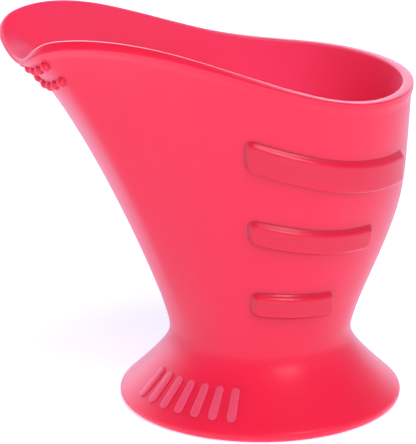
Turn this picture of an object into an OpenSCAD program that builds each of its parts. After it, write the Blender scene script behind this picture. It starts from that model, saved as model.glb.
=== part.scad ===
// Spouted feeding cup, moulded in one shot of silicone rubber.
// The bowl stands on a flared hollow foot and draws out into a wide sloping spout.
// X runs from the spout (-X) to the back of the bowl (+X), Y across, Z up from the table.

/* [Rim] */
// Reach from the foot's axis forward to the tip of the spout
spout_reach = 49.1; // [43:0.1:62]
// Reach from the foot's axis back to the rear of the rim
back_reach = 29; // [25:0.2:37]
// Breadth across the rim at the widest part of the bowl
bowl_w = 58.4; // [48:0.2:71]
// Breadth of the spout between its two crests
spout_w = 28.7; // [23:0.1:36]
// Breadth of the pouring lip between its shoulders
lip_w = 22; // [16:0.5:24]
// Height of the rim round the bowl
bowl_h = 65; // [54:0.5:78]
// Rise of the pouring lip above the bowl's rim
lip_rise = 8.1; // [5:0.1:11]
// Rise of the spout's shoulders above the bowl's rim
shoulder_rise = 11.5; // [8:0.1:15]
// Rise of the spout's crests above the bowl's rim
crest_rise = 13.9; // [10:0.1:18]
// Rise of the flanks between the crests and the bowl above the bowl's rim
flank_rise = 13.5; // [9:0.5:17]
// Distance of the crests behind the tip of the spout
crest_setback = 3; // [2:0.5:6]
// Distance of the flanks behind the tip of the spout
flank_setback = 19.9; // [16:0.1:28]

/* [Wall] */
// Thickness of the bowl's wall
wall_t = 1.8; // [1.2:0.1:3]
// Thickness of the wall where it thins to the pouring lip
lip_t = 0.8; // [0.6:0.1:1.8]
// Lean of the wall out from upright at the tip of the spout, in degrees
spout_flare = 80; // [60:1:82]
// Lean of the wall at the spout's crests, in degrees
crest_flare = 54; // [40:0.5:60]
// Lean of the wall at the sides of the bowl, in degrees
side_flare = 2.5; // [0:0.5:12]
// Lean of the wall at the back of the bowl, in degrees
back_flare = 4; // [0:0.5:10]
// Height of the bead round the outside of the rim
bead_h = 1.6; // [1:0.1:3]
// Thickness of the bead
bead_t = 0.3; // [0.2:0.05:0.8]

/* [Foot] */
// Diameter of the foot where it meets the table
foot_d = 56; // [46:1:68]
// Diameter of the neck between bowl and foot
neck_d = 36.1; // [30:0.1:44]
// Height of the neck, where the wall is upright
neck_h = 16.9; // [14:0.1:21]
// Slope of the foot's skirt above level, in degrees
skirt_slope = 42.6; // [35:0.1:50]
// Radius round the foot's outer edge
edge_r = 1.2; // [0.8:0.1:2.2]
// Thickness of the foot's skirt
skirt_t = 2.4; // [1.6:0.1:3]
// Width of the foot's rim on the table, from the foot's edge inwards
rest_w = 4; // [3.2:0.1:6]
// Thickness of the floor that closes the bowl
floor_t = 2.4; // [1.5:0.1:4]

/* [Grip ribs] */
// How far each rib stands out from the wall
rib_t = 1.2; // [0.6:0.1:2]
// Breadth of the upper ribs
upper_rib_w = 6.8; // [4:0.2:8]
// Breadth of the middle ribs
middle_rib_w = 5.4; // [4:0.2:7]
// Breadth of the lower ribs
lower_rib_w = 5.4; // [4:0.2:6]
// Radius of a rib's corners
rib_corner = 1.6; // [0.8:0.1:2]

/* [Lip nubs] */
// Nubs in each row under the lip
nubs_per_row = 7; // [3:2:9]
// Distance between neighbouring nubs
nub_pitch = 3.6; // [3:0.1:4]
// Diameter of a nub
nub_d = 2.2; // [1.2:0.1:2.5]
// Height of a nub
nub_h = 1.1; // [0.5:0.1:1.6]
// Gap along the wall between the rim's bead and the upper nubs
bead_gap = 0.3; // [0.2:0.05:1]
// Distance along the wall between the two rows
row_pitch = 4.4; // [3:0.1:5.2]

/* [Foot marks] */
// Raised bars in a row round the left front of the foot
marks = 7; // [3:2:9]
// Angle between neighbouring bars, in degrees
mark_step = 8.5; // [7:0.1:10.5]
// Length of a bar along the slope
mark_len = 7.2; // [5:0.1:8.7]
// Breadth of a bar
mark_w = 1.7; // [1:0.1:2.1]
// How far a bar stands out from the skirt
mark_t = 0.4; // [0.3:0.05:0.8]

/* [Hidden] */
red = [0.95, 0.25, 0.36];
deep_red = [0.86, 0.17, 0.28];
pink = [0.94, 0.55, 0.66];

// Grid of the smooth skins: steps round the cup and up its wall
round_steps = 84;
wall_steps = 16;
crown_steps = 4;
// Skins that lie on the wall start this far off its facets
bond = 0.1;
nudge = 0.01;

// ---- The rim: a closed smooth curve drawn by a cage of seven stations on each side.
// A station holds x, y, z, the wall's lean at the rim in degrees, how far the wall keeps
// that lean, how far it keeps its lean above the neck and that lean in degrees, then the
// direction in plan, as x and y, in which the rim leans out.
cage_gain = 1.108;
shoulder_bulge = 1;
side_x = 4;
heel_setback = 5.4;
heel_share = 0.7;
side_y = bowl_w / 2 * cage_gain;
front_set = [spout_flare, 0.11, 0.43, 19.6];
crest_set = [crest_flare, 0.11, 0.43, 19.6];
side_set = [side_flare, 0.37, 0.46, 6];
back_set = [back_flare, 0.54, 0.64, 31];
shoulder_way = 179;
crest_way = 149;
flank_way = 119;
side_way = 87.5;
heel_way = 47.5;
shoulder = [-spout_reach - shoulder_bulge, lip_w / 2, bowl_h + shoulder_rise];
crest = [crest_setback - spout_reach, spout_w / 2, bowl_h + crest_rise];
flank = [flank_setback - spout_reach, (spout_w / 2 + side_y) / 2, bowl_h + flank_rise];
side = [side_x, side_y, bowl_h];
heel = [back_reach - heel_setback, side_y * heel_share, bowl_h];
half_cage = [
    station(end_place([-spout_reach, 0, bowl_h + lip_rise], shoulder), front_set, 180),
    station(shoulder, (front_set + crest_set) / 2, shoulder_way),
    station(crest, crest_set, crest_way),
    station(flank, (crest_set + side_set) / 2, flank_way),
    station(side, side_set, side_way),
    station(heel, (side_set + back_set) / 2, heel_way),
    station(end_place([back_reach, 0, bowl_h], heel), back_set, 0),
];
far_end = len(half_cage) - 1;
cage = concat(half_cage, [for (i = [far_end - 1:-1:1]) mirrored(half_cage[i])]);
turn = len(cage);

// A station on the middle plane, placed so that the curve passes through p there
function end_place(p, next) = [(3 * p.x - next.x) / 2, 0, (3 * p.z - next.z) / 2];
function station(place, set, way) = concat(place, set, [cos(way), sin(way)]);
function mirrored(s) = [for (i = [0:len(s) - 1]) i == 1 || i == len(s) - 1 ? -s[i] : s[i]];

// Weights of a cubic B-spline's four stations at f
function weights(f) = [
    pow(1 - f, 3), 3 * pow(f, 3) - 6 * pow(f, 2) + 4,
    -3 * pow(f, 3) + 3 * pow(f, 2) + 3 * f + 1, pow(f, 3),
] / 6;
function blended(i, w) =
    w[0] * cage[(i + turn - 1) % turn] + w[1] * cage[i % turn]
    + w[2] * cage[(i + 1) % turn] + w[3] * cage[(i + 2) % turn];
function wrapped(v) = v - turn * floor(v / turn);
function unit(a) = a / norm(a);
function mix(a, b, f) = a + (b - a) * f;
// A cubic Bezier curve through a and d, pulled towards b and c
function bezier(a, b, c, d, t) =
    pow(1 - t, 3) * a + 3 * pow(1 - t, 2) * t * b + 3 * (1 - t) * pow(t, 2) * c + pow(t, 3) * d;
// A direction that leans away from upright towards the level direction out
function leaning(out, lean) = concat(out * sin(lean), [cos(lean)]);

// ---- The outer skin of the bowl: v runs round the rim, t from the neck (0) to the rim (1)
function skin(v, t) =
    let (
        u = wrapped(v),
        s = blended(floor(u), weights(u - floor(u))),
        top = [s.x, s.y, s.z],
        outward = unit([s[7], s[8]]),
        radial = unit([top.x, top.y]),
        bottom = concat(radial * neck_d / 2, [neck_h]),
        reach = norm(top - bottom)
    )
    bezier(
        bottom,
        bottom + reach * s[5] * leaning(radial, s[6]),
        top - reach * s[4] * leaning(outward, s[3]),
        top, t);
function skin_round(v, t) = (skin(v + nudge, t) - skin(v - nudge, t)) / (2 * nudge);
function skin_up(v, t) = (skin(v, t + nudge) - skin(v, t - nudge)) / (2 * nudge);
function skin_out(v, t) = unit(cross(skin_up(v, t), skin_round(v, t)));
function lifted(v, t, h) = skin(v, t) + skin_out(v, t) * h;

// ---- The foot's skirt: a profile of radius and height from the neck to the table
skirt_end = [foot_d / 2 - edge_r * (1 - sin(skirt_slope)), edge_r * (1 + cos(skirt_slope))];
skirt_dir = [cos(skirt_slope), -sin(skirt_slope)];
skirt_pull = 15;
neck_pull = 3.9;
function profile(s) =
    bezier([neck_d / 2, neck_h], [neck_d / 2, neck_h - neck_pull],
        skirt_end - skirt_pull * skirt_dir, skirt_end, s);
function profile_out(s) =
    let (d = profile(s + nudge) - profile(s - nudge)) unit([-d.y, d.x]);
function on_skirt(angle, s, h) =
    let (p = profile(s) + profile_out(s) * h) [p.x * cos(angle), p.x * sin(angle), p.y];

// The whole cup is centred over its own length
rim_steps = 480;
rim_x = [for (i = [0:rim_steps - 1]) lifted(i * turn / rim_steps, 1, bond + bead_t).x];
mid_x = (min(rim_x) + max(rim_x)) / 2;

module on_cup() translate([-mid_x, 0, 0]) children();

// A closed skin over rows of points; each row has the same number of points and closes
// on itself, and the last row joins the first when loop is true or else is capped flat
module skinned(rows, loop) {
    count = len(rows);
    size = len(rows[0]);
    points = [for (row = rows) each row];
    bands = loop ? count : count - 1;
    quads = [
        for (r = [0:bands - 1], c = [0:size - 1])
            let (a = r * size, b = ((r + 1) % count) * size, d = (c + 1) % size)
            each [[a + c, a + d, b + d], [a + c, b + d, b + c]]
    ];
    last = (count - 1) * size;
    caps = loop ? [] : [
        for (c = [1:size - 2]) each [[0, c + 1, c], [last, last + c, last + c + 1]]
    ];
    polyhedron(points = points, faces = concat(quads, caps));
}

// A pad that lies on a skin: a grid of top points over a like grid of underside points
module pad(top, under) {
    rows = len(top);
    columns = len(top[0]);
    size = rows * columns;
    points = concat([for (row = top) each row], [for (row = under) each row]);
    faces = [
        for (r = [0:rows - 2], c = [0:columns - 2])
            let (a = r * columns + c, b = a + columns)
            each [
                [a, a + 1, b + 1], [a, b + 1, b],
                [size + a, size + b + 1, size + a + 1], [size + a, size + b, size + b + 1],
            ]
    ];
    edge = concat(
        [for (c = [0:columns - 2]) c],
        [for (r = [0:rows - 2]) r * columns + columns - 1],
        [for (c = [columns - 1:-1:1]) (rows - 1) * columns + c],
        [for (r = [rows - 1:-1:1]) r * columns]);
    sides = [
        for (i = [0:len(edge) - 1])
            let (a = edge[i], b = edge[(i + 1) % len(edge)])
            each [[a, size + b, b], [a, size + a, size + b]]
    ];
    polyhedron(points = points, faces = concat(faces, sides));
}

// ---- Bowl
crown_h = 0.25;
// Height of a ring up the wall, closer together towards the flared rim
function wall_place(i) = sin(90 * i / wall_steps);
// The wall keeps its thickness but thins towards the pouring lip
lip_spread = [0.5, 1.8];
lip_depth = 0.3;
function eased(f) = let (g = max(0, min(1, f))) g * g * (3 - 2 * g);
function from_tip(v) = min(wrapped(v), turn - wrapped(v));
function wall_at(v, t) = mix(wall_t, lip_t,
    eased((lip_spread[1] - from_tip(v)) / (lip_spread[1] - lip_spread[0]))
    * eased((t - 1 + lip_depth) / lip_depth));
// A ring up the wall on its outer face (inside = 0) or on its inner face (inside = 1)
function wall_ring(t, inside) = [
    for (i = [0:round_steps - 1])
        let (v = i * turn / round_steps) lifted(v, t, -inside * wall_at(v, t))
];
function crown_ring(a) = [
    for (i = [0:round_steps - 1])
        let (v = i * turn / round_steps)
        lifted(v, 1, -wall_at(v, 1) * (1 - cos(a)) / 2) + unit(skin_up(v, 1)) * crown_h * sin(a)
];

module bowl_wall() color(red) on_cup() skinned(concat(
    [for (i = [0:wall_steps]) wall_ring(wall_place(i), 0)],
    [for (k = [1:crown_steps - 1]) crown_ring(k * 180 / crown_steps)],
    [for (i = [wall_steps:-1:0]) wall_ring(wall_place(i), 1)]), true);

// The bead's section: depth below the rim and height off the wall, as shares of its size
bead_section = [[1, 0], [0.75, 0.8], [0.4, 1], [0.1, 0.8], [0, 0.4], [0, 0], [0.5, 0]];
function bead_ring(p) = [
    for (i = [0:round_steps - 1])
        let (v = i * turn / round_steps)
        lifted(v, 1 - p.x * bead_h / norm(skin_up(v, 1)), bond + p.y * bead_t)
];

module rim_bead() color(pink) on_cup() skinned([for (p = bead_section) bead_ring(p)], true);

// The floor seats in the foot's bore, its top level with the start of the bowl's wall
bore_r = neck_d / 2 - wall_t;
module bowl_floor() color(deep_red) on_cup()
    translate([0, 0, neck_h - floor_t]) cylinder(r = bore_r, h = floor_t, $fn = 96);

// ---- Foot: a flared skirt, hollow underneath, that rests on a flat ring
skirt_steps = 14;
edge_steps = 6;
function skirt_inside(s) = profile(s) - profile_out(s) * mix(wall_t, skirt_t, s);
inner_profile = [
    for (i = [skirt_steps:-1:0])
        let (p = skirt_inside(i / skirt_steps))
        if (p.y < neck_h - floor_t - edge_r / 2 && p.y > edge_r) p
];
edge_centre = [foot_d / 2 - edge_r, edge_r];

module foot_skirt() color(red) on_cup() rotate_extrude($fn = 120) polygon(concat(
    [for (i = [0:skirt_steps]) profile(i / skirt_steps)],
    [
        for (k = [1:edge_steps])
            let (a = mix(90 - skirt_slope, -90, k / edge_steps))
            edge_centre + edge_r * [cos(a), sin(a)]
    ],
    [[foot_d / 2 - rest_w, 0]],
    inner_profile,
    [[bore_r, neck_h - floor_t], [bore_r, neck_h]]));

// ---- Grip ribs: each starts on the same line behind the spout and runs back round the
// bowl. A rib holds its front and back places round the rim, then up the wall, and its breadth.
rib_front = 3.45;
upper_rib = [rib_front, 5.03, 0.687, 0.718, upper_rib_w];
middle_rib = [rib_front, 4.77, 0.373, 0.368, middle_rib_w];
lower_rib = [rib_front, 4.42, 0.121, 0.106, lower_rib_w];
rib_columns = 18;
rib_rows = [-1, -0.8, -0.4, 0, 0.4, 0.8, 1];
rib_edge_share = 0.4;
rib_edge_round = 1.1;

// How far along a rib a column lies, closer together at its ends
function rib_along(c) = (1 - cos(180 * c / rib_columns)) / 2;
// Half breadth at a distance from a rib's end, round at the corners
function rib_half(w, end) =
    let (d = rib_corner - min(end, rib_corner))
    w / 2 - rib_corner + sqrt(pow(rib_corner, 2) - pow(d, 2));
// Height at a distance from a rib's edge
function rib_height(edge) = rib_t
    * (rib_edge_share + (1 - rib_edge_share) * sin(90 * min(1, edge / rib_edge_round)));
function rib_point(rib, a, b, top) =
    let (
        v = mix(rib[0], rib[1], a),
        middle = mix(rib[2], rib[3], a),
        length = abs(rib[1] - rib[0]) * norm(skin_round(v, middle)),
        end = min(a, 1 - a) * length,
        half = rib_half(rib[4], end),
        edge = min(end, (1 - abs(b)) * half)
    )
    lifted(v, middle + b * half / norm(skin_up(v, middle)),
        bond + (top ? rib_height(edge) : 0));
function rib_grid(rib, top) =
    [for (b = rib_rows) [for (c = [0:rib_columns]) rib_point(rib, rib_along(c), b, top)]];
// The same rib on the cup's left, where places round the rim count the other way
function left_rib(rib) = [-rib[1], -rib[0], rib[3], rib[2], rib[4]];
module rib(r) color(deep_red) on_cup() pad(rib_grid(r, true), rib_grid(r, false));

module rib_left_upper() rib(left_rib(upper_rib));
module rib_left_middle() rib(left_rib(middle_rib));
module rib_left_lower() rib(left_rib(lower_rib));
module rib_right_upper() rib(upper_rib);
module rib_right_middle() rib(middle_rib);
module rib_right_lower() rib(lower_rib);

// ---- Nubs: two rows of round studs under the lip, spread evenly either side of the tip
upper_drop = bead_h + bead_gap + nub_d / 2;
drop_step = 0.1;
nub_sides = 10;
// Share of a nub's radius and of its height at each level of its dome
nub_levels = [[1, 0], [0.96, 0.45], [0.72, 0.82], [0.36, 1]];

// The place up the wall that lies d below the tip of the rim, one short step at a time
function drop_place(d, t = 1) =
    d < drop_step ? t - d / norm(skin_up(0, t))
    : drop_place(d - drop_step, t - drop_step / norm(skin_up(0, t)));
// The place n pitches round from the tip, one pitch at a time
function nub_place(n, t, v = 0) =
    n == 0 ? v : nub_place(n - 1, t, v + nub_pitch / norm(skin_round(v, t)));
function nub_ring(v, t, level) = [
    for (k = [0:nub_sides - 1])
        let (
            a = 360 * k / nub_sides,
            r = nub_d / 2 * level.x,
            dv = r * cos(a) / norm(skin_round(v, t)),
            dt = r * sin(a) / norm(skin_up(v, t))
        )
        lifted(v + dv, t + dt, bond + nub_h * level.y)
];
module nub(v, t) skinned([for (level = nub_levels) nub_ring(v, t, level)], false);
module nub_row(t) color(deep_red) on_cup()
    for (n = [-floor(nubs_per_row / 2):floor(nubs_per_row / 2)])
        nub(sign(n) * nub_place(abs(n), t), t);

module lip_nubs_upper() nub_row(drop_place(upper_drop));
module lip_nubs_lower() nub_row(drop_place(upper_drop + row_pitch));

// ---- Foot marks: plain raised bars on the skirt, part way round to the cup's left
mark_place = 0.84;
mark_middle = 210;
mark_sides = 12;
mark_levels = [[1, 0], [1, 0.6], [0.8, 1]];
function mark_ring(angle, level) = [
    for (k = [0:mark_sides - 1])
        let (
            a = 360 * (k + 0.5) / mark_sides,
            across = mark_w / 2 * level.x * cos(a),
            up = (mark_len - mark_w) / 2 * sign(sin(a)) + mark_w / 2 * level.x * sin(a),
            radius = profile(mark_place).x,
            speed = norm(profile(mark_place + nudge) - profile(mark_place - nudge)) / (2 * nudge)
        )
        on_skirt(angle - across / radius * 180 / PI, mark_place - up / speed,
            bond + mark_t * level.y)
];

module foot_marks() color(pink) on_cup()
    for (n = [-floor(marks / 2):floor(marks / 2)])
        skinned([for (level = mark_levels) mark_ring(mark_middle + n * mark_step, level)], false);

bowl_wall();
rim_bead();
bowl_floor();
foot_skirt();
rib_left_upper();
rib_left_middle();
rib_left_lower();
rib_right_upper();
rib_right_middle();
rib_right_lower();
lip_nubs_upper();
lip_nubs_lower();
foot_marks();
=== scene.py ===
"""Spouted feeding cup of red silicone rubber on a hollow flared foot, on a plain pale floor.

Shapes are worked out in millimetres, in the cup's own frame: X runs from the spout (-X) to the
back of the bowl (+X), Y runs across, and Z rises from the table.
"""

import bpy
import numpy as np
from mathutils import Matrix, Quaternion, Vector


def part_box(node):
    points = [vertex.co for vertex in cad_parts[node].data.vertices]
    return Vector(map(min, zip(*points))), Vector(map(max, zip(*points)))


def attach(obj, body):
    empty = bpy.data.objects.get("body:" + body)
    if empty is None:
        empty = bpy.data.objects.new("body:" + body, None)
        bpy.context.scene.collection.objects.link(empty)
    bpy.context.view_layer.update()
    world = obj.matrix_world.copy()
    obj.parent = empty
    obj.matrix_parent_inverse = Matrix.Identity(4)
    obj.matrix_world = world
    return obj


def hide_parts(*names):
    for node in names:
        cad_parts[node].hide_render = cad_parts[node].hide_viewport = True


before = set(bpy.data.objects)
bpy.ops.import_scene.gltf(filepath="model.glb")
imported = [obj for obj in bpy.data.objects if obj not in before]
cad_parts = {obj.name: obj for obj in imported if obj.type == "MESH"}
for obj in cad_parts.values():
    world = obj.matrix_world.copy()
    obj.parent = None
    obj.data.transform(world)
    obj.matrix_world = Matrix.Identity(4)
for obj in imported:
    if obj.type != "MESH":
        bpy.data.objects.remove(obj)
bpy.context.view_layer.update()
MM = 0.001

# ---- Rim and skin of the bowl ----------------------------------------------------------
# The rim is one closed smooth line: low round the bowl, rising to two crests beside the
# pouring lip. The silicone wall sweeps up to it from the neck of the foot, flaring widely
# under the spout and standing almost upright at the back.

SPOUT_REACH, BACK_REACH = 49.1, 29.0
BOWL_W, SPOUT_W, LIP_W = 58.4, 28.7, 22.0
SIDE_SWELL = 1.108  # the curve passes inside its side stations, so they stand this much wider
BOWL_H = 65.0
LIP_RISE, SHOULDER_RISE, CREST_RISE, FLANK_RISE = 8.1, 11.5, 13.9, 13.5
NECK_R, NECK_H = 18.05, 16.9

foot_low, foot_high = (np.array(corner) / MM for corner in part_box("foot_skirt"))
FOOT_R = (foot_high[0] - foot_low[0]) / 2
AXIS = np.array([(foot_low[0] + foot_high[0]) / 2, 0.0, 0.0])


def station(place, shape, way):
    """A rim station: its place, how the wall leans and runs there, and the way it leans in plan."""
    return [*place, *shape, np.cos(np.radians(way)), np.sin(np.radians(way))]


def rim_stations():
    """Seven stations from the tip of the spout to the back, then five of them mirrored in Y.

    Each shape holds the lean at the rim in degrees, how far the wall keeps it, how far the
    wall keeps its lean at the neck, and that lean. The end stations stand outside the rim, so
    that the curve itself passes through the tip and the back.
    """
    side_y = BOWL_W / 2 * SIDE_SWELL
    front, crest_shape = np.array([80, 0.11, 0.43, 19.6]), np.array([54, 0.11, 0.43, 19.6])
    side, back = np.array([2.5, 0.37, 0.46, 6.0]), np.array([4, 0.54, 0.64, 31.0])
    shoulder = (-SPOUT_REACH - 1.0, LIP_W / 2, BOWL_H + SHOULDER_RISE)
    heel = (BACK_REACH - 5.4, side_y * 0.70, BOWL_H)
    tip = ((-3 * SPOUT_REACH - shoulder[0]) / 2, 0, (3 * (BOWL_H + LIP_RISE) - shoulder[2]) / 2)
    rear = ((3 * BACK_REACH - heel[0]) / 2, 0, BOWL_H)
    half = [
        station(tip, front, 180),
        station(shoulder, (front + crest_shape) / 2, 179),
        station((3.0 - SPOUT_REACH, SPOUT_W / 2, BOWL_H + CREST_RISE), crest_shape, 149),
        station((19.9 - SPOUT_REACH, (SPOUT_W / 2 + side_y) / 2, BOWL_H + FLANK_RISE),
                (crest_shape + side) / 2, 119),
        station((4.0, side_y, BOWL_H), side, 87.5),
        station(heel, (side + back) / 2, 47.5),
        station(rear, back, 0),
    ]
    half = np.array(half)
    mirror = np.array([1, -1, 1, 1, 1, 1, 1, 1, -1])
    return np.concatenate([half, half[-2:0:-1] * mirror])


STATIONS = rim_stations()
TURN = len(STATIONS)


def rim_values(v):
    """Uniform cubic B-spline round the stations: four neighbours weighted by the place v."""
    first = np.floor(v).astype(int)
    f = (v - first)[..., None]
    weights = [(1 - f) ** 3, 3 * f**3 - 6 * f**2 + 4, -3 * f**3 + 3 * f**2 + 3 * f + 1, f**3]
    return sum(w / 6 * STATIONS[(first + k - 1) % TURN] for k, w in enumerate(weights))


def unit(a):
    """Each vector of an array at length one."""
    return a / np.linalg.norm(a, axis=-1, keepdims=True)


def bezier(a, b, c, d, t):
    """Cubic curve from a to d, pulled towards b and c."""
    return (1 - t) ** 3 * a + 3 * (1 - t) ** 2 * t * b + 3 * (1 - t) * t**2 * c + t**3 * d


def leaning(plan, degrees):
    """A level direction tipped up, so that it leans this far from upright."""
    angle = np.radians(degrees)[..., None]
    return np.concatenate([plan * np.sin(angle), np.cos(angle)], axis=-1)


def skin(v, t):
    """Outer face of the bowl: v runs round the rim, t from the neck (0) to the rim (1).

    At each v the wall is a cubic curve. It leaves the neck's circle below the rim point with
    the neck's lean and arrives at the rim with the rim's lean.
    """
    v, t = np.broadcast_arrays(np.asarray(v, float), np.asarray(t, float))
    s = rim_values(v)
    top = s[..., :3]
    radial, outward = unit(s[..., :2]), unit(s[..., 7:9])
    bottom = np.concatenate([radial * NECK_R, np.full(v.shape + (1,), NECK_H)], axis=-1)
    reach = np.linalg.norm(top - bottom, axis=-1, keepdims=True)
    leave = bottom + reach * s[..., 5:6] * leaning(radial, s[..., 6])
    arrive = top - reach * s[..., 4:5] * leaning(outward, s[..., 3])
    return bezier(bottom, leave, arrive, top, t[..., None])


STEP = 0.004  # slopes are measured across a step this far either way


def along(v, t):
    """How the skin moves per unit of v."""
    return (skin(v + STEP, t) - skin(v - STEP, t)) / (2 * STEP)


def upward(v, t):
    """How the skin moves per unit of t."""
    return (skin(v, t + STEP) - skin(v, t - STEP)) / (2 * STEP)


def length(a):
    """Length of each vector of an array."""
    return np.linalg.norm(a, axis=-1)


def lifted(v, t, height):
    """A point this far off the skin, square to it."""
    v, t = np.broadcast_arrays(np.asarray(v, float), np.asarray(t, float))
    normal = unit(np.cross(upward(v, t), along(v, t)))
    return skin(v, t) + normal * np.asarray(height, float)[..., None]


# ---- Moulded body ----------------------------------------------------------------------
# Bowl, beaded rim, inner floor and hollow foot are one shot of satin silicone rubber with a
# 1.8 mm wall, so they are one closed skin without seams. Its rings run from the middle of the
# foot's underside, out and up over the foot, the wall and the rim, and down inside to the floor.

COLUMNS = 264
RIM_V = np.arange(COLUMNS) * TURN / COLUMNS
RIM_WAY = unit(rim_values(RIM_V)[:, :2])
FROM_TIP = np.minimum(RIM_V, TURN - RIM_V)

EDGE_R, SKIRT_T, REST_W, SLOPE = 1.2, 2.4, 4.0, np.radians(42.6)
NECK_PULL, SKIRT_PULL = 3.9, 15.0
HOLLOW_FROM, HOLLOW_TO, HOLLOW_ROOF_R = 0.34, 0.93, 9.0
FLOOR_T, FLOOR_R = 2.4, 11.5


def skirt_profile(s):
    """Radius and height of the foot's outer face from the neck (0) down to its edge (1)."""
    s = np.asarray(s, float)[..., None]
    end = np.array([FOOT_R - EDGE_R * (1 - np.sin(SLOPE)), EDGE_R * (1 + np.cos(SLOPE))])
    fall = np.array([np.cos(SLOPE), -np.sin(SLOPE)])
    return bezier(np.array([NECK_R, NECK_H]), np.array([NECK_R, NECK_H - NECK_PULL]),
                  end - SKIRT_PULL * fall, end, s)


def skirt_normal(s):
    """Outward direction of the foot's outer face, as radius and height."""
    d = skirt_profile(np.asarray(s) + STEP) - skirt_profile(np.asarray(s) - STEP)
    return unit(np.stack([-d[..., 1], d[..., 0]], axis=-1))


def foot_section():
    """Radius and height from the middle of the underside, round the foot, up to the neck.

    In order: a domed roof, the hollow's slope inside the skirt, the turn down to the flat
    resting ring, the round outer edge, and the outer face.
    """
    slope_s = np.linspace(HOLLOW_FROM, HOLLOW_TO, 20)
    slope = skirt_profile(slope_s) - skirt_normal(slope_s) * SKIRT_T
    roof = np.array([0.0, NECK_H - FLOOR_T])
    upper, lower = unit(slope[0] - slope[1]), unit(slope[-1] - slope[-2])
    dome = bezier(roof, roof + [HOLLOW_ROOF_R, 0.0], slope[0] + upper * 5, slope[0],
                  np.linspace(0.03, 1, 14)[:-1, None])
    ring_in, ring_out = FOOT_R - REST_W, FOOT_R - EDGE_R
    turn_in = bezier(slope[-1], slope[-1] + lower * 1.1, np.array([ring_in - 0.6, 0.0]),
                     np.array([ring_in, 0.0]), np.linspace(0, 1, 8)[1:, None])
    rest = np.stack([np.linspace(ring_in, ring_out, 5)[1:], np.zeros(4)], axis=-1)
    a = np.linspace(-np.pi / 2, np.pi / 2 - SLOPE, 12)[1:]
    edge = np.array([ring_out, EDGE_R]) + EDGE_R * np.stack([np.cos(a), np.sin(a)], axis=-1)
    face = skirt_profile(np.linspace(1, 0, 44)[1:-1])
    return np.concatenate([dome, slope, turn_in, rest, edge, face])


def foot_rings():
    """The foot's section carried round, each column along the level way to its rim point."""
    section = foot_section()
    level = section[:, None, :1] * RIM_WAY
    height = np.broadcast_to(section[:, None, 1:], (len(section), COLUMNS, 1))
    return np.concatenate([level, height], axis=-1)


def smooth(f):
    """Eases from 0 to 1 as f goes from 0 to 1."""
    f = np.clip(f, 0, 1)
    return f * f * (3 - 2 * f)


BEAD_T, BEAD_H, BEAD_ROUND = 0.3, 1.6, 1.0


def wall_rings():
    """Outer face from the neck to the rim: even rings up to 6 mm below the rim, then close ones.

    The bead stands off the wall at the rim and eases back to it at the bead's lower edge.
    """
    depth = np.concatenate([np.linspace(6, 2.6, 8), np.linspace(2.3, 1.0, 18),
                            np.linspace(0.9, 0, 7)])[:, None]
    near_rim = 1 - depth / length(upward(RIM_V, np.ones(COLUMNS)))
    plain = np.linspace(0, 1, 62)[:-1, None] * near_rim[0]
    bead = BEAD_T * smooth((BEAD_H + BEAD_ROUND - depth) / (2 * BEAD_ROUND))
    return np.concatenate([
        lifted(RIM_V, plain, np.zeros(plain.shape)),
        lifted(RIM_V, near_rim, np.broadcast_to(bead, near_rim.shape)),
    ])


def neck_blended(rings, neck):
    """Rings about the neck drawn halfway to the mean of their neighbours, over and over."""
    passes, below, above = 60, 7, 5
    for _ in range(passes):
        band = slice(neck - below, neck + above)
        around = (rings[neck - below - 1:neck + above - 1]
                  + rings[neck - below + 1:neck + above + 1]) / 2
        rings[band] = (rings[band] + around) / 2
    return rings


WALL_T, LIP_T = 1.8, 0.8
LIP_NEAR, LIP_FAR, LIP_DEPTH = 0.5, 1.8, 0.3


def wall_thickness(v, t):
    """The wall keeps its thickness but thins to the pouring lip.

    It is thinnest at the rim within LIP_NEAR of the tip, and full past LIP_FAR and below the
    top share LIP_DEPTH of the wall.
    """
    from_tip = np.minimum(v % TURN, -v % TURN)
    beside = smooth((LIP_FAR - from_tip) / (LIP_FAR - LIP_NEAR))
    return WALL_T - (WALL_T - LIP_T) * beside * smooth((t - 1 + LIP_DEPTH) / LIP_DEPTH)


# The last is the width of the painted highlight along the rim's inner edge, where the backdrop's
# reflection falls.
CROWN_H, CROWN_FLAT, RIM_HIGHLIGHT_W = 0.35, 0.72, 0.3


def crown_rings():
    """Top of the rim, a flattened half ellipse from the bead's face over to the inner face, and
    how far each of its points lies in the painted highlight line along the inner edge."""
    a = np.linspace(0, np.pi, 17)[1:-1, None]
    across = np.sign(np.cos(a)) * np.abs(np.cos(a)) ** CROWN_FLAT
    rise = np.sin(a) ** CROWN_FLAT * CROWN_H
    rim_t = wall_thickness(RIM_V, np.ones(COLUMNS))
    middle, half = (BEAD_T - rim_t) / 2, (BEAD_T + rim_t) / 2
    top = np.ones((len(a), COLUMNS))
    crown = lifted(RIM_V, top, middle + half * across)
    crown = crown + unit(upward(RIM_V, top)) * rise[..., None]
    return crown, smooth((RIM_HIGHLIGHT_W - (1 + across) * half) / RIM_HIGHLIGHT_W * 2)


def inner_rings():
    """Inner face from the rim down, and the dished floor in to the ring round its middle."""
    inner_t = np.append([1, 0.996], np.linspace(0.985, 0.13, 51))[:, None] * np.ones(COLUMNS)
    inner = lifted(RIM_V, inner_t, -wall_thickness(RIM_V, inner_t))
    down = unit(inner[-1] - inner[-2])
    centre = np.array([0, 0, NECK_H])
    level = np.concatenate([RIM_WAY, np.zeros((COLUMNS, 1))], axis=-1)
    floor = bezier(inner[-1], inner[-1] + down * 5.5, centre + level * FLOOR_R, centre,
                   np.linspace(0, 0.97, 16)[1:, None, None])
    return np.concatenate([inner, floor])


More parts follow.
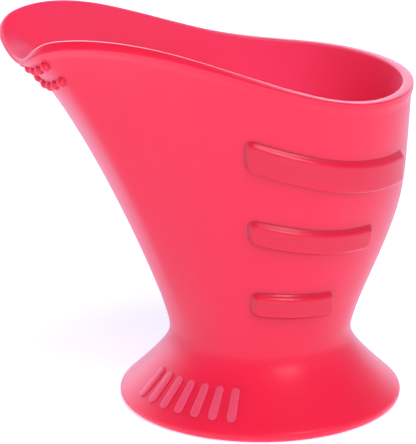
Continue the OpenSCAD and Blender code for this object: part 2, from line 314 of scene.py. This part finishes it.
def new_piece(name, points, faces, material):
    """A smooth mesh object from an array of points in millimetres and a list of face arrays."""
    mesh = bpy.data.meshes.new(name)
    sizes = np.concatenate([np.full(len(f), f.shape[1]) for f in faces])
    corners = np.concatenate([f.ravel() for f in faces])
    mesh.vertices.add(len(points))
    mesh.vertices.foreach_set("co", (points * MM).astype(np.float32).ravel())
    mesh.loops.add(len(corners))
    mesh.loops.foreach_set("vertex_index", corners.astype(np.int32))
    mesh.polygons.add(len(sizes))
    mesh.polygons.foreach_set("loop_start", (np.cumsum(sizes) - sizes).astype(np.int32))
    mesh.polygons.foreach_set("use_smooth", np.ones(len(sizes), bool))
    mesh.update(calc_edges=True)
    mesh.validate()
    mesh.materials.append(material)
    piece = bpy.data.objects.new(name, mesh)
    bpy.context.scene.collection.objects.link(piece)
    return piece


def closed_tube(rings, first_pole, last_pole):
    """Points and faces of rings joined in order, with a fan to a pole at either end."""
    rows, columns = rings.shape[:2]
    points = np.concatenate([rings.reshape(-1, 3), [first_pole], [last_pole]])
    here = np.arange(columns)
    beside = (here + 1) % columns
    start = np.arange(rows - 1)[:, None] * columns
    quads = np.stack([start + here, start + beside, start + columns + beside,
                      start + columns + here], axis=-1)
    last = (rows - 1) * columns
    first_fan = np.stack([np.full(columns, rows * columns), beside, here], axis=-1)
    last_fan = np.stack([np.full(columns, rows * columns + 1), last + here, last + beside], axis=-1)
    return points, [quads.reshape(-1, 4)[:, ::-1], np.concatenate([first_fan, last_fan])[:, ::-1]]


def silicone(name, colour, deep, roughness=0.36):
    """Satin silicone rubber: clouded colour, a little light carried under the skin, fine grain."""
    material = bpy.data.materials.new(name)
    material.use_nodes = True
    nodes, links = material.node_tree.nodes, material.node_tree.links
    shader = nodes["Principled BSDF"]
    place = nodes.new("ShaderNodeTexCoord")
    cloud = nodes.new("ShaderNodeTexNoise")
    cloud.inputs["Scale"].default_value = 60.0
    cloud.inputs["Detail"].default_value = 3.0
    mix = nodes.new("ShaderNodeMix")
    mix.data_type = "RGBA"
    mix.inputs["A"].default_value = (*colour, 1)
    mix.inputs["B"].default_value = (*deep, 1)
    links.new(place.outputs["Object"], cloud.inputs["Vector"])
    links.new(cloud.outputs["Fac"], mix.inputs["Factor"])
    links.new(mix.outputs["Result"], shader.inputs["Base Color"])
    fine = nodes.new("ShaderNodeTexNoise")
    fine.inputs["Scale"].default_value = 2600.0
    fine.inputs["Detail"].default_value = 2.0
    bump = nodes.new("ShaderNodeBump")
    bump.inputs["Distance"].default_value = 0.00005
    bump.inputs["Strength"].default_value = 0.4
    links.new(place.outputs["Object"], fine.inputs["Vector"])
    links.new(fine.outputs["Fac"], bump.inputs["Height"])
    links.new(bump.outputs["Normal"], shader.inputs["Normal"])
    shader.inputs["Roughness"].default_value = roughness
    shader.inputs["IOR"].default_value = 1.43
    shader.inputs["Sheen Weight"].default_value = 0.2
    shader.inputs["Sheen Roughness"].default_value = 0.3
    shader.inputs["Sheen Tint"].default_value = (0.45, 0.75, 1.0, 1)
    shader.inputs["Subsurface Weight"].default_value = 0.6
    shader.inputs["Subsurface Radius"].default_value = (1.0, 0.25, 0.3)
    shader.inputs["Subsurface Scale"].default_value = 0.004
    return material


def tinted_by(material, attribute, colour):
    """Blends the material's colour into another one by a value stored on the mesh."""
    nodes, links = material.node_tree.nodes, material.node_tree.links
    shader = nodes["Principled BSDF"]
    amount = nodes.new("ShaderNodeAttribute")
    amount.attribute_name = attribute
    blend = nodes.new("ShaderNodeMix")
    blend.data_type = "RGBA"
    blend.inputs["B"].default_value = (*colour, 1)
    links.new(shader.inputs["Base Color"].links[0].from_socket, blend.inputs["A"])
    links.new(amount.outputs["Fac"], blend.inputs["Factor"])
    links.new(blend.outputs["Result"], shader.inputs["Base Color"])


bowl_silicone = silicone("bowl_silicone", (0.83, 0.018, 0.066), (0.79, 0.014, 0.054))
# Painted sheen and light: the inside is tinted paler and pinker, standing in for its glow and soft
# reflections.
tinted_by(bowl_silicone, "inside", (0.98, 0.072, 0.19))
# Painted highlight: a pale line along the rim's inner edge stands in for the backdrop's reflection
# there.
tinted_by(bowl_silicone, "painted_rim_highlight", (0.93, 0.72, 0.80))

foot, wall = foot_rings(), wall_rings()
crown, rim_highlight_line = crown_rings()
outer = neck_blended(np.concatenate([foot, wall]), len(foot))
rings = np.concatenate([outer, crown, inner_rings()]) + AXIS
inner_start = len(outer) + len(crown)

# The rim's inner edge carries a painted highlight, clear only on the left of the spout from just
# past the tip, and faint elsewhere. The inside is painted paler as painted sheen, palest towards
# the back of either side, where light fills the bowl.
RIM_HIGHLIGHT_ELSEWHERE, PAINTED_SHEEN_ELSEWHERE = 0.12, 0.40
past_tip_left = TURN - RIM_V
spout_left = smooth((past_tip_left - 0.7) / 0.5) * smooth((4.2 - past_tip_left) / 1.2)
painted_rim_highlight, inside = np.zeros(rings.shape[:2]), np.zeros(rings.shape[:2])
painted_rim_highlight[len(outer):inner_start] = rim_highlight_line
painted_rim_highlight[inner_start] = 1
painted_rim_highlight *= RIM_HIGHLIGHT_ELSEWHERE + (1 - RIM_HIGHLIGHT_ELSEWHERE) * spout_left
# Painted sheen: the pale tint of the inside is strongest towards the back of either side.
painted_sheen_peak = np.exp(-((FROM_TIP - 4.7) / 0.9) ** 2)
inside[inner_start:] = PAINTED_SHEEN_ELSEWHERE + (1 - PAINTED_SHEEN_ELSEWHERE) * painted_sheen_peak

points, faces = closed_tube(rings, AXIS + [0, 0, NECK_H - FLOOR_T], AXIS + [0, 0, NECK_H])
cup_body = new_piece("cup_body", points, faces, bowl_silicone)
# The stored values carry the painted highlight line and the inside's painted sheen.
for attribute, values, pole in (("painted_rim_highlight", painted_rim_highlight, 0), ("inside", inside, PAINTED_SHEEN_ELSEWHERE)):
    layer = cup_body.data.attributes.new(attribute, "FLOAT", "POINT")
    layer.data.foreach_set("value", np.append(values.ravel(), [0, pole]).astype(np.float32))
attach(cup_body, "root")
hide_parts("bowl_wall", "rim_bead", "bowl_floor", "foot_skirt")

# ---- Grip ribs -------------------------------------------------------------------------
# Three raised pads on each side of the bowl, moulded with the wall, stop fingers from
# slipping. Each runs round the bowl, with round corners, sloping flanks and a leaning face.

RIB_FRONT = 3.45
RIB_T, RIB_CORNER, RIB_FLANK, RIB_EASE, RIB_SINK = 1.15, 1.6, 1.1, 0.25, 0.06
FACE_LEAN, FLANK_LEAN = 0.22, 0.3
RIBS = {  # rear end round the rim, height up the wall in front and behind, breadth
    "upper": (5.03, 0.687, 0.718, 6.8),
    "middle": (4.77, 0.373, 0.368, 5.4),
    "lower": (4.42, 0.121, 0.106, 5.4),
}
RIB_MARGIN, RIB_ROOT, RIB_CELL = 0.7, 0.7, 0.3

# Painted shade: the ribs take a darker copy of the bowl's silicone, for the deeper look of the
# raised pads.
rib_silicone = silicone("rib_silicone", (0.74, 0.014, 0.052), (0.70, 0.010, 0.042), roughness=0.24)


def rib_height(inside, up):
    """Height of a rib this far inside its outline: a flank with rounded foot and shoulder.

    Up is -1 at the rib's lower edge and 1 at its upper edge. The face stands out more below
    than above, and the upper flank is the broader one, so that fingers rest on it.
    """
    flank = RIB_FLANK * (1 + FLANK_LEAN * up)
    ramp = np.clip((inside + RIB_EASE) / (flank + RIB_EASE), 0, 1)
    full = RIB_T * (1 - FACE_LEAN * up)
    return -RIB_SINK + (full + RIB_SINK) * (0.45 * smooth(ramp) + 0.55 * smooth(smooth(ramp)))


def rib_pad(back, front_t, back_t, breadth, side):
    """A grid of heights over the rib's outline, which is a rectangle with round corners laid on
    the skin, and a like grid below it inside the wall. Their borders are joined."""
    middle_v = (RIB_FRONT + back) / 2
    span = length(along(np.array(middle_v), np.array((front_t + back_t) / 2))) * (back - RIB_FRONT)
    half_l, half_w = span / 2, breadth / 2
    columns = int((span + 2 * RIB_MARGIN) / RIB_CELL)
    rows = int((breadth + 2 * RIB_MARGIN) / RIB_CELL)
    x = np.linspace(-half_l - RIB_MARGIN, half_l + RIB_MARGIN, columns)[None, :]
    y = np.linspace(-half_w - RIB_MARGIN, half_w + RIB_MARGIN, rows)[:, None]
    past = np.stack(np.broadcast_arrays(np.abs(x) - half_l + RIB_CORNER,
                                        np.abs(y) - half_w + RIB_CORNER), axis=-1)
    outside = length(np.maximum(past, 0)) + np.minimum(past.max(-1), 0) - RIB_CORNER
    share = (x / span + 0.5) + 0 * y
    v = RIB_FRONT + (back - RIB_FRONT) * share
    t_middle = front_t + (back_t - front_t) * share
    t = t_middle + y / length(upward(v, t_middle))
    top = lifted(side * v, t, rib_height(-outside, np.clip(y / half_w, -1, 1)))
    under = lifted(side * v, t, np.full(v.shape, -RIB_ROOT))
    return top, under


def closed_pad(top, under):
    """Points and faces of two like grids whose borders are joined; the first faces outwards."""
    rows, columns = top.shape[:2]
    size = rows * columns
    grid = np.arange(size).reshape(rows, columns)
    quads = np.stack([grid[:-1, :-1], grid[:-1, 1:], grid[1:, 1:], grid[1:, :-1]], axis=-1)
    quads = quads.reshape(-1, 4)
    border = np.concatenate([grid[0, :-1], grid[:-1, -1], grid[-1, :0:-1], grid[:0:-1, 0]])
    after = np.roll(border, -1)
    sides = np.stack([border, border + size, after + size, after], axis=-1)
    faces = np.concatenate([quads, quads[:, ::-1] + size, sides])
    return np.concatenate([top.reshape(-1, 3), under.reshape(-1, 3)]) + AXIS, faces


for side_name, side in (("right", 1), ("left", -1)):
    for place, (back, front_t, back_t, breadth) in RIBS.items():
        points, faces = closed_pad(*rib_pad(back, front_t, back_t, breadth, side))
        if side > 0:
            faces = faces[:, ::-1]
        rib = new_piece(f"rib_{side_name}_{place}_pad", points, [faces], rib_silicone)
        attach(rib, "root")
        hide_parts(f"rib_{side_name}_{place}")

# ---- Lip nubs --------------------------------------------------------------------------
# Two rows of seven small domes under the pouring lip, moulded with the wall, that the lower
# lip can feel.

NUB_PITCH, NUB_R, NUB_H, NUB_ROOT = 3.6, 1.1, 1.1, 0.5
NUB_ROWS = {"upper": 0.8885, "lower": 0.7788}  # share of the way up the wall
NUBS_EACH_SIDE = 3

nub_silicone = silicone("nub_silicone", (0.92, 0.018, 0.065), (0.86, 0.012, 0.05), roughness=0.3)


def nub_place(n, t):
    """The place round the rim n pitches from the tip, one pitch at a time."""
    v = np.array(0.0)
    for _ in range(abs(n)):
        v = v + NUB_PITCH / length(along(v, np.array(t)))
    return float(np.sign(n) * v)


def nub_rings(v, t):
    """A round stub that rises from inside the wall into a half ellipsoid."""
    a = np.linspace(0, 2 * np.pi, 29)[:-1]
    lean = np.linspace(0, np.pi / 2, 11)[:-1]
    radius = np.concatenate([[NUB_R], NUB_R * np.cos(lean)])[:, None]
    height = np.concatenate([[-NUB_ROOT], NUB_H * np.sin(lean)])[:, None]
    dv = radius * np.cos(a) / length(along(np.array(v), np.array(t)))
    dt = radius * np.sin(a) / length(upward(np.array(v), np.array(t)))
    base = lifted(v + dv, t + dt, np.zeros(dv.shape))
    normal = lifted(v, t, 1.0) - skin(v, t)
    return base + normal * height[..., None], skin(v, t) - normal * NUB_ROOT, lifted(v, t, NUB_H)


def joined(tubes):
    """Points and faces of like closed tubes put together as one mesh, about the foot's axis."""
    start = np.arange(len(tubes))[:, None, None] * len(tubes[0][0])
    points = np.concatenate([points for points, _ in tubes]) + AXIS
    quads = np.stack([quads for _, (quads, _) in tubes]) + start
    fans = np.stack([fans for _, (_, fans) in tubes]) + start
    return points, [quads.reshape(-1, 4), fans.reshape(-1, 3)]


for row, t in NUB_ROWS.items():
    row_of_tubes = [closed_tube(*nub_rings(nub_place(n, t), t))
                    for n in range(-NUBS_EACH_SIDE, NUBS_EACH_SIDE + 1)]
    nubs = new_piece(f"lip_nub_domes_{row}", *joined(row_of_tubes), nub_silicone)
    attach(nubs, "root")
    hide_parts(f"lip_nubs_{row}")

# ---- Foot marks ------------------------------------------------------------------------
# A row of plain raised bars with round ends on the left front of the foot, moulded with the
# skirt. Their colour is painted paler than the skirt's: painted light, for the light that passes
# into their edges.

MARKS_EACH_SIDE, MARK_STEP, MARK_MIDDLE = 3, 8.5, 210.0
MARK_PLACE, MARK_LEN, MARK_W, MARK_T, MARK_ROOT, MARK_ROUND = 0.84, 7.2, 1.7, 0.4, 0.5, 0.25

# Painted light: a paler copy of the silicone stands in for light passing into the bars' edges.
mark_silicone = silicone("mark_silicone", (0.93, 0.09, 0.17), (0.93, 0.06, 0.13))


def mark_rings(angle):
    """Stadium-shaped rings: a straight wall from inside the skirt, then a rounded shoulder."""
    a = np.linspace(0, 2 * np.pi, 41)[:-1] + np.pi / 40
    lean = np.linspace(0, np.pi / 2, 8)[:-1]
    shrink = np.concatenate([[0], MARK_ROUND * (1 - np.cos(lean)), [0.45, 0.7]])[:, None]
    shoulder = MARK_T - MARK_ROUND * (1 - np.sin(lean))
    height = np.concatenate([[-MARK_ROOT], shoulder, [MARK_T, MARK_T]])
    half = MARK_W / 2 - shrink
    across = half * np.cos(a)
    up = (MARK_LEN - MARK_W) / 2 * np.sign(np.sin(a)) + half * np.sin(a)
    fall = skirt_profile(MARK_PLACE + STEP) - skirt_profile(MARK_PLACE - STEP)
    s = MARK_PLACE - up / length(fall) * (2 * STEP)
    profile = skirt_profile(s) + skirt_normal(s) * height[:, None, None]
    turn = np.radians(angle) - across / skirt_profile(MARK_PLACE)[0]
    return np.stack([profile[..., 0] * np.cos(turn), profile[..., 0] * np.sin(turn),
                     profile[..., 1]], axis=-1)


bars = [mark_rings(MARK_MIDDLE + n * MARK_STEP)
        for n in range(-MARKS_EACH_SIDE, MARKS_EACH_SIDE + 1)]
marks = new_piece("foot_mark_bars",
                  *joined([closed_tube(bar, bar[0].mean(0), bar[-1].mean(0)) for bar in bars]),
                  mark_silicone)
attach(marks, "root")
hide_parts("foot_marks")

# ---- Floor, light and camera -----------------------------------------------------------
# A plain pale floor that glows like a product table stands in a white studio with a bright
# backdrop and a dark ceiling. Two broad soft lamps up to the left fill without glints, and a
# small one to the right draws the streaks. The camera looks a little down at the left side.

scene = bpy.context.scene
scene.view_settings.view_transform = "Standard"

floor_material = bpy.data.materials.new("pale_floor")
floor_material.use_nodes = True
floor_shader = floor_material.node_tree.nodes["Principled BSDF"]
floor_shader.inputs["Base Color"].default_value = (0.88, 0.90, 0.95, 1)
floor_shader.inputs["Roughness"].default_value = 0.9
floor_shader.inputs["Emission Color"].default_value = (0.70, 0.77, 1.0, 1)
floor_shader.inputs["Emission Strength"].default_value = 0.66
bpy.ops.mesh.primitive_plane_add(size=30)
floor_plane = bpy.context.object
floor_plane.name = "studio_floor"
floor_plane.data.materials.append(floor_material)

world = bpy.data.worlds.new("white_studio")
world.use_nodes = True
nodes, links = world.node_tree.nodes, world.node_tree.links
sky_way = nodes.new("ShaderNodeTexCoord")
sky_parts = nodes.new("ShaderNodeSeparateXYZ")
sky_ramp = nodes.new("ShaderNodeValToRGB")
sky_ramp.color_ramp.elements[0].position = 0.35
sky_ramp.color_ramp.elements[0].color = (0.72, 0.78, 1.0, 1)
sky_ramp.color_ramp.elements[1].position = 0.66
sky_ramp.color_ramp.elements[1].color = (0.20, 0.20, 0.22, 1)
backdrop = nodes.new("ShaderNodeMapRange")
backdrop.interpolation_type = "SMOOTHSTEP"
backdrop.inputs["From Min"].default_value = 0.35
backdrop.inputs["From Max"].default_value = 0.85
backdrop.inputs["To Min"].default_value = 0.6
backdrop.inputs["To Max"].default_value = 3.2
lit = nodes["Background"]
links.new(sky_way.outputs["Generated"], sky_parts.inputs["Vector"])
links.new(sky_parts.outputs["Z"], sky_ramp.inputs["Fac"])
links.new(sky_parts.outputs["Y"], backdrop.inputs["Value"])
links.new(sky_ramp.outputs["Color"], lit.inputs["Color"])
links.new(backdrop.outputs["Result"], lit.inputs["Strength"])
seen = nodes.new("ShaderNodeBackground")
seen.inputs["Strength"].default_value = 1.1
ray = nodes.new("ShaderNodeLightPath")
choose = nodes.new("ShaderNodeMixShader")
links.new(ray.outputs["Is Camera Ray"], choose.inputs["Fac"])
links.new(lit.outputs["Background"], choose.inputs[1])
links.new(seen.outputs["Background"], choose.inputs[2])
links.new(choose.outputs["Shader"], nodes["World Output"].inputs["Surface"])
scene.world = world


def direction(azimuth, elevation):
    """Unit vector from the cup, turned from straight in front (-Y) towards +X."""
    a, e = np.radians([azimuth, elevation])
    return np.array([np.sin(a) * np.cos(e), -np.cos(a) * np.cos(e), np.sin(e)])


def facing(from_point, to_point, roll=0.0):
    """Rotation of a lamp or camera at one point that looks at another."""
    look = Vector(to_point) - Vector(from_point)
    turn = look.to_track_quat("-Z", "Y")
    return (turn @ Quaternion((0, 0, 1), np.radians(roll))).to_euler()


LAMP_DISTANCE = 0.9
CUP_MIDDLE = np.array([0, 0, 0.040])


def soft_lamp(name, azimuth, elevation, size, power, glints):
    """A square soft lamp that faces the middle of the cup, and may leave glints or not."""
    data = bpy.data.lights.new(name, "AREA")
    data.size = size
    data.energy = power
    lamp = bpy.data.objects.new(name, data)
    lamp.location = CUP_MIDDLE + direction(azimuth, elevation) * LAMP_DISTANCE
    lamp.rotation_euler = facing(lamp.location, CUP_MIDDLE)
    lamp.visible_glossy = glints
    scene.collection.objects.link(lamp)


soft_lamp("key_lamp", -12, 40, 0.5, 2.3, glints=False)
soft_lamp("top_lamp", -10, 65, 0.3, 2.6, glints=False)
soft_lamp("streak_lamp", 16, 36, 0.2, 1.3, glints=True)

CAMERA_AZIMUTH, CAMERA_ELEVATION, CAMERA_DISTANCE, CAMERA_ROLL = -22.0, 17.35, 0.555, -0.29
FOCUS = AXIS * MM + CUP_MIDDLE
AIM = FOCUS + [-0.00998, 0.00270, -0.00396]
LENS, SENSOR = 244.5, 36.0

camera_data = bpy.data.cameras.new("camera")
camera_data.lens = LENS
camera_data.sensor_width = SENSOR
camera_data.sensor_fit = "HORIZONTAL"
camera = bpy.data.objects.new("camera", camera_data)
camera.location = FOCUS + direction(CAMERA_AZIMUTH, CAMERA_ELEVATION) * CAMERA_DISTANCE
camera.rotation_euler = facing(camera.location, AIM, CAMERA_ROLL)
scene.collection.objects.link(camera)
scene.camera = camera
